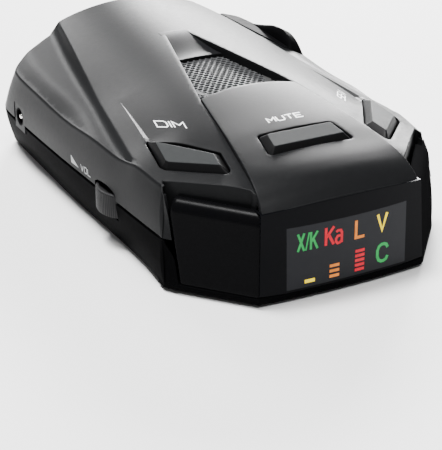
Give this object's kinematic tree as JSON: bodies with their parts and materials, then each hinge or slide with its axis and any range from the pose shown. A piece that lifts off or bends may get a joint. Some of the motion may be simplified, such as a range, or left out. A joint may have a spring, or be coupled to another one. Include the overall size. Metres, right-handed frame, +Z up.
{
  "type": "radar detector",
  "caption": "Compact dashboard radar detector with a wrap-round icon display, push buttons, an edge volume wheel, a speaker grille and a power socket.",
  "frame": {"origin": "centre of the footprint, on the plane of the rubber feet", "axes": "+Z up, -Y towards the driver (display end), +Y towards the windscreen, +X to the driver's right"},
  "size_m": [0.07, 0.105, 0.032],
  "materials": {
    "case_grey": "fine satin texture, dark metallic grey",
    "case_black": "fine matte texture",
    "grille_grey": "satin",
    "lens_black": "polished, dark tinted",
    "panel_gloss": "semi-gloss",
    "side_black": "smooth black",
    "window_red": "polished, dark red tint",
    "inner_black": "moulded",
    "board_green": "solder mask",
    "spacer_brass": "turned",
    "icon_green": "lit from behind",
    "icon_red": "lit from behind",
    "icon_orange": "lit from behind",
    "icon_yellow": "lit from behind",
    "cast_metal": "as cast",
    "soft_black": "matte",
    "pin_metal": "plated",
    "wheel_black": "knurled",
    "button_grey": "satin",
    "screw_steel": "zinc plated"
  },
  "bodies": {
    "case": {"upper_shell": "case_grey", "lower_shell": "case_black", "centre_panel": "case_grey", "speaker_grille": "grille_grey", "display_lens": "lens_black", "left_corner_panel": "panel_gloss", "right_corner_panel": "panel_gloss", "side_lens": "side_black", "laser_window": "window_red", "bracket_socket": "inner_black", "main_board": "board_green", "key_board": "board_green", "board_spacers": "spacer_brass", "display_board": "board_green", "light_guide": "inner_black", "icon_xk": "icon_green", "icon_ka": "icon_red", "icon_l": "icon_orange", "icon_v": "icon_yellow", "icon_c": "icon_green", "bars_low": "icon_yellow", "bars_mid": "icon_orange", "bars_high": "icon_red", "antenna_horn": "cast_metal", "rf_module": "cast_metal", "laser_sensor": "inner_black", "speaker": "inner_black", "speaker_gasket": "soft_black", "dc_jack": "inner_black", "jack_pin": "pin_metal", "volume_pot": "inner_black", "mute_switch": "inner_black", "dim_switch": "inner_black", "sen_switch": "inner_black", "case_screws": "screw_steel", "rubber_feet": "soft_black"},
    "volume_wheel": {"volume_wheel": "wheel_black"},
    "mute_button": {"mute_button": "button_grey"},
    "dim_button": {"dim_button": "button_grey"},
    "sen_button": {"sen_button": "button_grey"}
  },
  "joints": [
    {"name": "volume_turn", "type": "hinge", "parent": "case", "child": "volume_wheel", "pos_m": [-0.0278, -0.0112, 0.0097], "axis": [0, 0, 1], "range_deg": [0, 270]},
    {"name": "mute_press", "type": "slide", "parent": "case", "child": "mute_button", "axis": [0, 0.1994, -0.9799], "range_m": [0, 0.0006], "stiffness_N_per_m": 500},
    {"name": "dim_press", "type": "slide", "parent": "case", "child": "dim_button", "axis": [0.2584, 0.1271, -0.9576], "range_m": [0, 0.0006], "stiffness_N_per_m": 500},
    {"name": "sen_press", "type": "slide", "parent": "case", "child": "sen_button", "axis": [-0.2584, 0.1271, -0.9576], "range_m": [0, 0.0006], "stiffness_N_per_m": 500}
  ]
}
